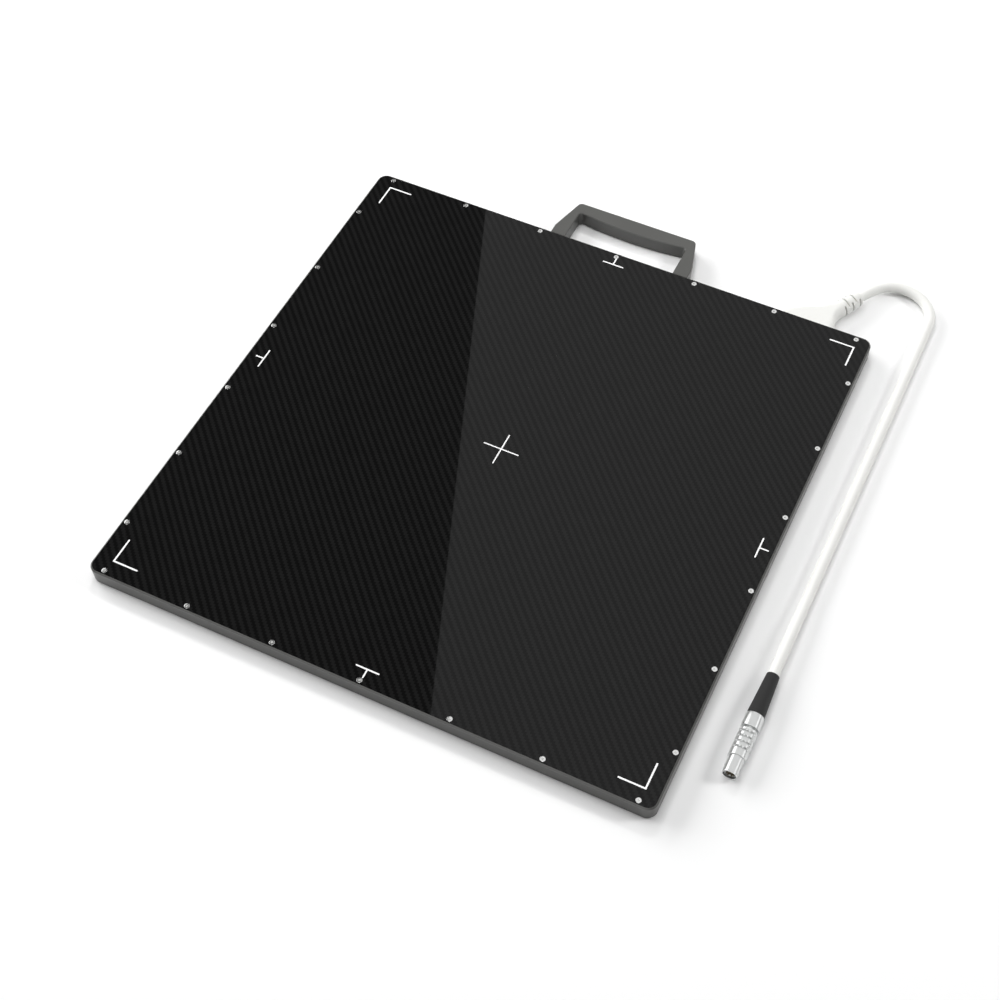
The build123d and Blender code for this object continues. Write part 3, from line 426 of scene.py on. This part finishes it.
def screws(name, places, height, facing, node):
    """The same screw at each place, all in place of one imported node."""
    grid = screw(facing)
    made = [closed_rings(grid + np.array([x, y, height])) for x, y in places]
    piece = make_object(name, *joined(made), screw_metal, 28.0)
    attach(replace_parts(piece, node), "panel")


def around_edge(row_count, row_pitch, column_count, column_pitch, column_shift):
    """Places in rows near the front and rear edges and in columns near the sides, each evenly
    spaced about its middle."""
    line = HALF - SCREW_INSET
    row = [(i - (row_count - 1) / 2) * row_pitch for i in range(row_count)]
    column = [(i - (column_count - 1) / 2) * column_pitch for i in range(column_count)]
    places = [(x, side * line) for side in (-1, 1) for x in row]
    return places + [(side * line, y + column_shift) for side in (-1, 1) for y in column]


front_places = around_edge(ROW_SCREWS, PITCH, COLUMN_SCREWS, PITCH, COLUMN_SHIFT)
rear_places = around_edge(3, 3 * PITCH, 2, 2 * PITCH, 0)
screws("cover_screw_heads", front_places, TOP, 1, "cover_screws")
screws("rear_screw_heads", rear_places, REAR_HEADS_Z, -1, "rear_cover_screws")


# Cable block and strain relief

WALL = 3.5
BLOCK_X, RELIEF_Z = HALF - 58.75, TOP / 2
BLOCK_SIDES, ROWS_PER_SECTION = 96, 9
SPIGOT_R, SPIGOT_LAP, SPIGOT_SIDES = 2.6, 0.5, 32
NECK = np.array([23.4, 32.6])  # middle of the block's base to a point on the relief's axis
HEADING = math.radians(60.5)
NECK_BACK, RELIEF_END = -5.0, 16.0  # along the axis from that point
NECK_R, END_R, LIP = 7.4, 6.4, 0.8
SLOTS, SLOT_FIRST, SLOT_STEP = 5, -4.0, 4.1
SLOT_WIDTH, SLOT_FLOOR, SLOT_EDGE = 1.6, 3.9, 0.1
# Left and right points in plan, height and corner radius, from the wall to the strain relief
SECTIONS = [
    (-23.25, 0.0, 23.25, 0.0, 12.2, 2.5),
    (-18.25, 6.5, 23.45, 4.8, 12.3, 3.2),
    (-8.75, 13.3, 23.15, 9.7, 12.6, 4.2),
    (1.75, 18.7, 22.85, 14.6, 13.2, 5.2),
    (9.55, 25.2, 24.25, 19.4, 14.0, 6.3),
]


def smooth_rows(table, per_step):
    """Rows of a table joined by cubic curves that pass through each of them. A curve's slope at
    a row is half the difference of the rows on either side of it."""
    table = np.asarray(table, float)
    ends = np.vstack([2 * table[0] - table[1], table, 2 * table[-1] - table[-2]])
    out = []
    for k in range(len(table) - 1):
        a, b, c, d = ends[k : k + 4]
        t = np.linspace(0, 1, per_step, endpoint=False)[:, None]
        bend = (2 * a - 5 * b + 4 * c - d) * t**2 + (3 * b - a - 3 * c + d) * t**3
        out.append(0.5 * (2 * b + (c - a) * t + bend))
    out.append(table[-1:])
    return np.concatenate(out)


def rounded_section(width, height, corner, angles):
    """Points of a rounded rectangle, met by lines from its middle in the given directions: on a
    flat side at half the width over the cosine or half the height over the sine, and elsewhere
    where the line leaves the corner's circle."""
    a, b = width / 2 - corner, height / 2 - corner
    c, s = np.abs(np.cos(angles)), np.abs(np.sin(angles))
    flat_side = np.minimum((a + corner) / np.maximum(c, 1e-9), (b + corner) / np.maximum(s, 1e-9))
    inside = np.maximum(corner**2 - (a * s - b * c) ** 2, 0.0)
    round_reach = a * c + b * s + np.sqrt(inside)
    at_corner = (flat_side * c > a) & (flat_side * s > b)
    reach = np.where(at_corner, round_reach, flat_side)
    return reach * np.cos(angles), reach * np.sin(angles)


def relief_rows():
    """Distances along the axis for the strain relief's rings, closer at the slots' edges."""
    half, edge = SLOT_WIDTH / 2, SLOT_EDGE
    across_slot = [-half - edge, -half, -half + 0.02, -half + edge, 0]
    across_slot += [half - edge, half - 0.02, half, half + edge, SLOT_STEP / 2]
    rows = [SLOT_FIRST + i * SLOT_STEP + step for i in range(SLOTS) for step in across_slot]
    rows = [r for r in rows if NECK_BACK < r < RELIEF_END - LIP - 0.1]
    return [NECK_BACK] + rows + [RELIEF_END - back for back in (LIP, 0.45, 0.15, 0)]


def relief_radius(s, angles):
    """The strain relief's radius at a distance along its axis. It falls in a straight line and
    rounds in at the end by a quarter of a circle. In a slot it is held down to a flat floor on
    two sides, left and right and above and below in turn: the floor over the cosine or sine."""
    share = (s - NECK_BACK) / (RELIEF_END - NECK_BACK)
    lip = max(0.0, s - (RELIEF_END - LIP)) / LIP
    round_in = LIP * (1 - math.sqrt(max(0.0, 1 - lip**2)))
    radius = np.full(angles.shape, NECK_R + (END_R - NECK_R) * share - round_in)
    for i in range(SLOTS):
        if abs(s - (SLOT_FIRST + i * SLOT_STEP)) < SLOT_WIDTH / 2 - 0.01:
            lean = np.abs(np.cos(angles)) if i % 2 == 0 else np.abs(np.sin(angles))
            radius = np.minimum(radius, SLOT_FLOOR / np.maximum(lean, 1e-6))
    return radius


def cable_block():
    """A lofted block that runs into a round strain relief, and the spigot that goes through the
    housing's wall. The block's rings are rounded rectangles, each upright on the line between
    its left and right points. The relief's rings are upright across its axis."""
    angles = turns(BLOCK_SIDES, TAU / (2 * BLOCK_SIDES))
    axis = np.array([math.cos(HEADING), math.sin(HEADING)])
    across = np.array([-axis[1], axis[0]])
    neck = NECK + axis * NECK_BACK
    left, right = neck + across * NECK_R, neck - across * NECK_R
    table = SECTIONS + [(*left, *right, 2 * NECK_R, NECK_R)]
    base = np.array([BLOCK_X, HALF])
    grid = []
    for lx, ly, rx, ry, height, corner in smooth_rows(table, ROWS_PER_SECTION)[:-1]:
        lp, rp = np.array([lx, ly]), np.array([rx, ry])
        span = lp - rp
        width = np.linalg.norm(span)
        corner = min(corner, height / 2 - 0.01, width / 2 - 0.01)
        u, v = rounded_section(width, height, corner, angles)
        plan = base + (lp + rp) / 2 + u[:, None] * span / width
        grid.append(np.column_stack([plan, RELIEF_Z + v]))
    for s in relief_rows():
        radius = relief_radius(s, angles)
        plan = base + NECK + axis * s + (radius * np.cos(angles))[:, None] * across
        grid.append(np.column_stack([plan, RELIEF_Z + radius * np.sin(angles)]))
    spigot_radius = np.full((2, SPIGOT_SIDES), SPIGOT_R)
    spigot_y = [HALF - WALL, HALF + SPIGOT_LAP]
    spigot = about_y(spigot_radius, spigot_y, turns(SPIGOT_SIDES), BLOCK_X, RELIEF_Z)
    parts = [closed_rings(np.array(grid)), closed_rings(spigot)]
    piece = make_object("cable_block", *joined(parts), white_mould, 40.0)
    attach(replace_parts(piece, "cable_overmould"), "panel")


cable_block()


# Cable

CABLE_DIA = 9.0
ROUTE = [
    (202.529, 276.526, 7.5),
    (208.685, 287.406, 7.5),
    (217.2, 297.7, 6.9),
    (227.8, 303.4, 6.1),
    (239.9, 304.3, 5.3),
    (251.4, 300.2, 4.8),
    (260.2, 292.0, 4.5),
    (265.0, 280.9, 4.5),
    (265.0, 268.8, 4.5),
    (264.9, 22.0, 4.5),
    (264.9, -20.0, 4.5),
    (264.9, -62.0, 7.0),
    (264.9, -92.8, 7.0),
]


def free_cable():
    """A round tube along a curve of the second degree, which starts and ends on the route's end
    points and is drawn towards the others."""
    curve = bpy.data.curves.new("free_cable", "CURVE")
    curve.dimensions = "3D"
    curve.bevel_depth = CABLE_DIA / 2 * MM
    curve.bevel_resolution = 8
    curve.resolution_u = 16
    curve.use_fill_caps = True
    line = curve.splines.new("NURBS")
    line.points.add(len(ROUTE) - 1)
    for point, place in zip(line.points, ROUTE):
        point.co = (*[c * MM for c in place], 1.0)
    line.order_u = 3
    line.use_endpoint_u = True
    curve.materials.append(white_jacket)
    made = bpy.data.objects.new("free_cable", curve)
    bpy.context.scene.collection.objects.link(made)
    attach(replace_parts(made, "cable"), "panel")
    return made


cable = free_cable()


# Plug

BOOT_BORE_R, BOOT_SMALL_R, BOOT_LARGE_R, BOOT_SKIRT, BOOT_ROUND = 4.3, 4.95, 6.6, 3.0, 0.7
NUT_R, NUT_ROUND, STUB_R, STUB_LENGTH = 7.0, 0.35, 4.25, 5.0
GRIP_R, NOSE_R, BORE_R = 6.9, 5.9, 4.95
REAR_ROUND, STEP_ROUND, GRIP_END, TIP_ROUND = 0.4, 0.45, 0.4, 0.3

# Grooves round the grip and flutes along it, with a deeper notch where they cross
GROOVE_FIRST, GROOVE_STEP, GROOVES = SHELL_REAR_Y - 3.0, 4.5, 4
GROOVE_HALF, GROOVE_DEEP = 0.9, 0.5
FLUTES, FLUTE_HALF, FLUTE_DEEP = 8, 1.1, 0.14
FLUTE_START, FLUTE_END, FLUTE_FADE = SHELL_REAR_Y - 2.2, SHELL_REAR_Y - 17.6, 0.4
NOTCH_DEEP, NOTCH_STEEP = 1.15, 2.4

# The oval on top, the notches on both sides at the rear, and the latch windows from the tip
OVAL_Y, OVAL_LONG, OVAL_WIDE, OVAL_DEEP, OVAL_STEEP = SHELL_REAR_Y - 1.3, 1.9, 0.7, 0.2, 4
FLANK_Y, FLANK_HALF, FLANK_DEEP = SHELL_REAR_Y - 0.75, 0.75, 0.7
FLANK_UP, FLANK_FADE = 0.75, 0.15  # the sine of the angle that they reach, and their soft ends
WINDOW_NEAR, WINDOW_FAR, WINDOW_HALF = 2.8, 6.8, 1.8


def lathe(name, profile, material, node, sides=72, sharp=30.0):
    """A solid turned about the plug's axis. The profile gives radius and y."""
    radius = np.repeat(profile[:, :1], sides, axis=1)
    grid = about_y(radius, profile[:, 1], turns(sides))
    piece = make_object(name, *closed_rings(grid), material, sharp)
    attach(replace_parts(piece, node), "panel")
    return piece


def bend_relief():
    """The black boot, turned from a line that bows up from the cable to its skirt at the nut."""
    seat = NUT_Y + 0.05
    profile = [
        (BOOT_BORE_R, BOOT_END_Y),
        (BOOT_SMALL_R, BOOT_END_Y),
        (5.25, BOOT_END_Y - 6.0),
        (6.2, NUT_Y + 10.0),
        (BOOT_LARGE_R, NUT_Y + BOOT_SKIRT),
        (BOOT_LARGE_R, seat),
        (5.8, seat),
    ]
    profile = rounded_line(profile, BOOT_ROUND)
    return lathe("bend_relief", profile, boot_rubber, "plug_boot")


def rear_collar():
    """The plain nut, turned in one with the stub that enters the latch sleeve."""
    stub_end = NUT_FRONT_Y - STUB_LENGTH
    profile = [
        (6.0, NUT_Y),
        (NUT_R, NUT_Y),
        (NUT_R, NUT_FRONT_Y),
        (4.9, NUT_FRONT_Y),
        (STUB_R, NUT_FRONT_Y - 0.05),
        (STUB_R, stub_end),
        (3.5, stub_end),
    ]
    profile = rounded_line(profile, NUT_ROUND)
    return lathe("rear_collar", profile, chrome, "collet_nut")


def vee(distance, half):
    """One in the middle of a groove, falling in a straight line to zero at its edge."""
    return np.clip(1 - np.abs(distance) / half, 0.0, 1.0)


def from_nearest(angles, repeat):
    """Angle from the nearest of the lines that stand that far apart, the first of them on top."""
    return np.mod(angles - TAU / 4 + repeat / 2, repeat) - repeat / 2


def shell_rows():
    """Distances along the plug for the shell's rings: closer on the grip and at each edge."""
    rear = SHELL_REAR_Y - np.array([0, 0.12, 0.3])
    grip = np.linspace(SHELL_REAR_Y - 0.5, NOSE_Y + 0.5, 146)
    step = NOSE_Y + np.array([0.25, 0.08, 0, -0.01, -0.15])
    middle = np.linspace(NOSE_Y - 1.5, TIP_Y + 8.3, 4)
    windows = TIP_Y + np.array([WINDOW_FAR, 5.2, WINDOW_NEAR, 1.2])
    tip = TIP_Y + np.array([0.35, 0.15, 0.04, 0])
    return np.concatenate([rear, grip, step, middle, windows, tip])


def grip_cut(rows, angles):
    """How deep the grip is cut. Grooves round it and flutes along it have straight sides and add
    up. A notch where they cross is their product, made steeper and held at one. The oval is one
    less the squares of its two shares, treated likewise, and a side notch is the root of a vee."""
    around = np.zeros_like(rows)
    for k in range(GROOVES):
        around = np.maximum(around, vee(rows - (GROOVE_FIRST - k * GROOVE_STEP), GROOVE_HALF))
    starts = np.tanh((FLUTE_START - rows) / FLUTE_FADE)
    ends = np.tanh((FLUTE_END - rows) / FLUTE_FADE)
    lengthwise = vee(from_nearest(angles, TAU / FLUTES) * GRIP_R, FLUTE_HALF) * (starts - ends) / 2
    notch = np.clip(NOTCH_STEEP * around * lengthwise, 0.0, 1.0)
    from_top = from_nearest(angles, TAU) * GRIP_R
    oval = 1 - (from_top / OVAL_LONG) ** 2 - ((rows - OVAL_Y) / OVAL_WIDE) ** 2
    flank = np.clip((FLANK_UP - np.abs(np.sin(angles))) / FLANK_FADE, 0.0, 1.0)
    flank = flank * np.sqrt(vee(rows - FLANK_Y, FLANK_HALF))
    cut = GROOVE_DEEP * around + FLUTE_DEEP * lengthwise + NOTCH_DEEP * notch
    return cut + OVAL_DEEP * np.clip(OVAL_STEEP * oval, 0.0, 1.0) + FLANK_DEEP * flank


def shell_radius(y, angles):
    """The shell's outer radius: the cut grip, then the plain nose. Near each end of the grip and
    at the tip it is rounded in by the square of the share of the way to that end."""
    rows = y[:, None]
    rear = np.clip(1 - (SHELL_REAR_Y - rows) / GRIP_END, 0, 1) ** 2
    step = np.clip(1 - (rows - NOSE_Y) / GRIP_END, 0, 1) ** 2
    tip = np.clip(1 - (rows - TIP_Y) / TIP_ROUND, 0, 1) ** 2
    grip = GRIP_R - grip_cut(rows, angles) - REAR_ROUND * rear - STEP_ROUND * step
    return np.where(rows > NOSE_Y - 0.005, grip, NOSE_R - TIP_ROUND * tip)


def grip_shell():
    """A tube with an outer and an inner wall on one grid. The cells of the two windows are left
    out of both, and the windows' edges are closed by walls between the two."""
    half_turn = math.asin(WINDOW_HALF / NOSE_R)
    spread = np.linspace(half_turn, math.pi - half_turn, 53)
    gap = np.linspace(-half_turn, half_turn, 11)[1:-1]
    angles = np.concatenate([spread, math.pi + gap, math.pi + spread, TAU + gap])
    y = shell_rows()
    rows, cols = len(y), len(angles)
    count = rows * cols
    outer = about_y(shell_radius(y, angles), y, angles)
    inner = about_y(np.full((rows, cols), BORE_R), y, angles)
    middle_y = (y[1:] + y[:-1]) / 2 - TIP_Y
    turn = angles + np.diff(np.append(angles, angles[0] + TAU)) / 2
    in_turn = np.abs(np.sin(turn)) < math.sin(half_turn) - 1e-6
    in_row = (middle_y > WINDOW_NEAR) & (middle_y < WINDOW_FAR)
    keep = ~(in_row[:, None] & in_turn)
    faces = quads(rows, cols, 0, keep)
    faces += [face[::-1] for face in quads(rows, cols, count, keep)]
    here = np.arange(cols)
    onward = np.roll(here, -1)
    end_wall = np.stack([here, onward, onward + count, here + count], -1)
    faces += end_wall.tolist() + (end_wall + (rows - 1) * cols).tolist()
    for i, j in np.argwhere(~keep).tolist():
        after = (j + 1) % cols
        corners = [i * cols + j, i * cols + after, (i + 1) * cols + after, (i + 1) * cols + j]
        sides = [(i - 1, j), (i, after), (i + 1, j), (i, (j - 1) % cols)]
        for k, side in enumerate(sides):
            if keep[side]:
                a, b = corners[k], corners[(k + 1) % 4]
                faces.append([a, b, b + count, a + count])
    points = np.concatenate([outer.reshape(-1, 3), inner.reshape(-1, 3)])
    piece = make_object("grip_shell", points, faces, chrome, 25.0)
    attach(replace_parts(piece, "release_shell"), "release_shell")


boot_piece = bend_relief()
nut_piece = rear_collar()
grip_shell()


# Stage, light and camera

FLOOR = 9000.0
FLOOR_CORNERS = [(-FLOOR, -FLOOR, 0), (FLOOR, -FLOOR, 0), (FLOOR, FLOOR, 0), (-FLOOR, FLOOR, 0)]

# The card overhead, whose straight edge is mirrored across the cover
CARD_CORNER = np.array([-406.4, 745.0, 600.0])
CARD_EDGE = np.array([0.3752, -0.9269, 0.0])
CARD_SIDE = np.array([0.9269, 0.3752, 0.0])
CARD_BACK, CARD_AHEAD, CARD_WIDE = 1300, 1500, 1000
CARD_START, CARD_END = CARD_CORNER - CARD_BACK * CARD_EDGE, CARD_CORNER + CARD_AHEAD * CARD_EDGE
CARD_ACROSS = CARD_WIDE * CARD_SIDE
TOP_CARD = [CARD_START, CARD_END, CARD_END + CARD_ACROSS, CARD_START + CARD_ACROSS]

# Cards in front of the panel, low on its right and high on its left
FRONT_CARD = [(-1700, -2400, 700), (1500, -2400, 700), (1500, -2400, 3600), (-1700, -2400, 3600)]
STRIP_CARD = [(1000, -300, 590), (1500, -300, 360), (1500, 1500, 360), (1000, 1500, 590)]
LEFT_CARD = [(-2800, -900, 450), (-2800, 1900, 450), (-2100, 1900, 2600), (-2100, -900, 2600)]
CARDS = [
    ("mirrored_card", TOP_CARD, "card_glow", 0.85),
    ("front_card", FRONT_CARD, "front_glow", 1.95),
    ("strip_card", STRIP_CARD, "strip_glow", 1.6),
    ("left_card", LEFT_CARD, "left_glow", 2.2),
]

# Place, target and size in metres, and power in watts
LIGHTS = [
    ("top_light", (-0.2, 0.1, 2.2), (0, 0, 0), (1.4, 1.4), 22.5),
    ("rear_light", (-0.8, 1.75, 2.3), (0, 0, 0), (0.2, 0.2), 12.5),
    ("left_light", (-2.6, 0.4, 1.2), (0.1, 0, 0), (3.0, 1.6), 99.0),
    ("right_light", (1.8, 0.8, 1.3), (0.1, 0, 0), (0.5, 0.5), 20.0),
]
WORLD_GLOW = 0.14

# Camera, solved from points of the panel: place in metres, turn in degrees
CAMERA_PLACE = (0.35486, -0.65648, 1.02704)
CAMERA_TURN = (34.5344, -0.2033, 25.0339)
LENS, SENSOR_WIDTH, SHIFT_X = 57.625, 36.0, -0.06


def plane(name, corners, material):
    """A flat stage piece with four corners."""
    mesh = bpy.data.meshes.new(name)
    mesh.from_pydata([[c * MM for c in corner] for corner in corners], [], [[0, 1, 2, 3]])
    mesh.materials.append(material)
    made = bpy.data.objects.new(name, mesh)
    bpy.context.scene.collection.objects.link(made)
    return made


def floor_material():
    material = bpy.data.materials.new("floor_white")
    Nodes(material).surface(Base_Color=(0.9, 0.9, 0.9), Roughness=0.9, Specular_IOR_Level=0.1)
    return material


def glow_material(name, strength):
    material = bpy.data.materials.new(name)
    n = Nodes(material)
    light = n.node("ShaderNodeEmission")
    light.inputs["Strength"].default_value = strength
    n.feed(n.out.inputs[0], light.outputs[0])
    return material


def gloss_card(name, corners, glow_name, strength):
    """A glowing card that shows only in glossy surfaces."""
    made = plane(name, corners, glow_material(glow_name, strength))
    made.visible_camera = False
    made.visible_diffuse = False
    made.visible_shadow = False
    made.visible_transmission = False


def area_light(name, place, target, size, power):
    """A rectangular lamp that faces its target and doesn't show in glossy surfaces."""
    data = bpy.data.lights.new(name, "AREA")
    data.shape = "RECTANGLE"
    data.size, data.size_y = size
    data.energy = power
    made = bpy.data.objects.new(name, data)
    bpy.context.scene.collection.objects.link(made)
    made.location = place
    aim = np.array(target, float) - np.array(place, float)
    across = math.hypot(aim[0], aim[1])
    made.rotation_euler = (math.atan2(across, -aim[2]), 0.0, math.atan2(-aim[0], aim[1]))
    made.visible_glossy = False


plane("floor", FLOOR_CORNERS, floor_material())
for card in CARDS:
    gloss_card(*card)
for light in LIGHTS:
    area_light(*light)

world = bpy.data.worlds.new("studio")
bpy.context.scene.world = world
world.use_nodes = True
background = world.node_tree.nodes["Background"]
background.inputs["Color"].default_value = (1.0, 1.0, 1.0, 1.0)
background.inputs["Strength"].default_value = WORLD_GLOW

camera_data = bpy.data.cameras.new("camera")
camera_data.lens = LENS
camera_data.sensor_width = SENSOR_WIDTH
camera_data.shift_x = SHIFT_X
camera = bpy.data.objects.new("camera", camera_data)
bpy.context.scene.collection.objects.link(camera)
camera.location = CAMERA_PLACE
camera.rotation_euler = [math.radians(a) for a in CAMERA_TURN]
bpy.context.scene.camera = camera
bpy.context.scene.view_settings.view_transform = "Standard"
